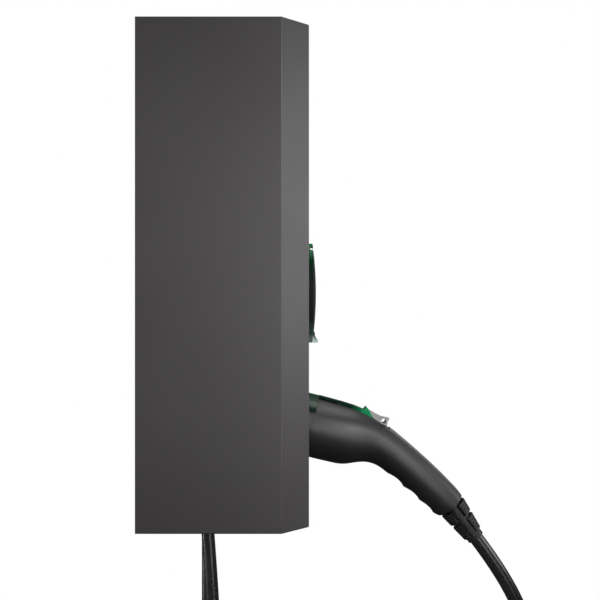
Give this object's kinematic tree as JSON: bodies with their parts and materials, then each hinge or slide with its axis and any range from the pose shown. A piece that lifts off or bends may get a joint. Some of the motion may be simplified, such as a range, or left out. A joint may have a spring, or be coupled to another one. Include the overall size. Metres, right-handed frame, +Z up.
{
  "type": "wall mounted charging station",
  "caption": "Tall dark wall box for charging electric vehicles: chamfered steel cover, socket under a domed flap, and a holstered connector on a coiled cable.",
  "frame": {"origin": "centre of the four wall-bolt holes on the back face of the tray", "axes": "+X out of the wall towards the front, +Y along the wall, +Z up"},
  "size_m": [0.4491, 0.34, 0.955],
  "materials": {
    "cover_coat": "fine matte powder coat, dark anthracite",
    "galvanised": "galvanised",
    "gasket_rubber": "matte",
    "screw_steel": "bright zinc",
    "spring_steel": "drawn wire",
    "gland_plastic": "moulded polyamide",
    "module_plastic": "light grey moulded",
    "toggle_plastic": "dark blue",
    "button_plastic": "yellow",
    "board_laminate": "solder mask",
    "board_components": "moulded",
    "core_insulation": "insulated cores",
    "contact_brass": "silver plated",
    "black_plastic": "fine texture",
    "flap_gloss": "gloss black dome",
    "green_light": "translucent green",
    "handle_plastic": "satin moulded",
    "lever_green": "translucent green",
    "pad_grey": "light grey",
    "clamp_plastic": "moulded",
    "cable_jacket": "smooth glossy black jacket",
    "supply_jacket": "smooth black jacket",
    "relief_rubber": "satin",
    "tie_fabric": "hook and loop tape"
  },
  "bodies": {
    "root": {"back_plate": "galvanised", "cover": "cover_coat", "cover_gasket": "gasket_rubber", "cover_screws": "screw_steel", "gland_plate": "galvanised", "gland_charge": "gland_plastic", "gland_supply": "gland_plastic", "gland_boot_charge": "gasket_rubber", "gland_boot_supply": "gasket_rubber", "gland_locknuts": "gland_plastic", "earth_stud": "screw_steel", "din_rail_upper": "galvanised", "din_rail_lower": "galvanised", "rcbo": "module_plastic", "contactor": "module_plastic", "energy_meter": "module_plastic", "power_supply": "module_plastic", "terminal_block": "module_plastic", "controller_board": "board_laminate", "board_parts": "board_components", "board_standoffs": "screw_steel", "wires_supply": "core_insulation", "wires_charge": "core_insulation", "wires_socket": "core_insulation", "light_ring": "green_light", "led_board": "board_laminate", "socket_housing": "black_plastic", "socket_insert": "black_plastic", "socket_contacts": "contact_brass", "socket_gasket": "gasket_rubber", "socket_screws": "screw_steel", "flap_pin": "screw_steel", "flap_spring": "spring_steel", "lock_actuator": "board_components", "dock_housing": "black_plastic", "dock_light": "green_light", "dock_gasket": "gasket_rubber", "dock_screws": "screw_steel", "charge_cable": "cable_jacket", "charge_cable_coil": "cable_jacket", "cable_tie": "tie_fabric", "supply_cable": "supply_jacket"},
    "flap": {"flap": "flap_gloss"},
    "lock_pin": {"lock_pin": "screw_steel"},
    "toggle": {"rcbo_toggle": "toggle_plastic"},
    "test_button": {"rcbo_test_button": "button_plastic"},
    "connector": {"connector_shell_left": "handle_plastic", "connector_shell_right": "handle_plastic", "connector_screws": "screw_steel", "connector_nose": "black_plastic", "connector_contacts": "contact_brass", "latch_pin": "screw_steel", "latch_spring": "spring_steel", "proximity_switch": "board_components", "cable_clamp": "clamp_plastic", "cable_tail": "cable_jacket", "strain_relief": "relief_rubber", "connector_cores": "core_insulation"},
    "latch": {"latch_lever": "lever_green", "thumb_pad": "pad_grey"}
  },
  "joints": [
    {"name": "flap_hinge", "type": "hinge", "parent": "root", "child": "flap", "pos_m": [0.1774, 0, 0.031], "axis": [0, -1, 0], "range_deg": [0, 95], "stiffness_Nm_per_rad": 0.02, "springref_deg": -40.11},
    {"name": "lock_pin_slide", "type": "slide", "parent": "root", "child": "lock_pin", "axis": [0, 0, -1], "range_m": [0, 0.0065]},
    {"name": "rcbo_toggle_hinge", "type": "hinge", "parent": "root", "child": "toggle", "pos_m": [0.067, -0.122, 0.15], "axis": [0, 1, 0], "range_deg": [0, 60]},
    {"name": "rcbo_test_slide", "type": "slide", "parent": "root", "child": "test_button", "axis": [-1, 0, 0], "range_m": [0, 0.0015], "stiffness_N_per_m": 300, "springref_m": -0.001},
    {"name": "connector_slide", "type": "slide", "parent": "root", "child": "connector", "axis": [0.9681, 0, -0.2504], "range_m": [0, 0.06], "deforming": ["charge_cable"]},
    {"name": "latch_pivot", "type": "hinge", "parent": "connector", "child": "latch", "pos_m": [0.22298, 0, -0.15485], "axis": [0, 1, 0], "range_deg": [0, 4], "stiffness_Nm_per_rad": 0.5, "springref_deg": -5.73, "deforming": ["latch_spring"]}
  ]
}
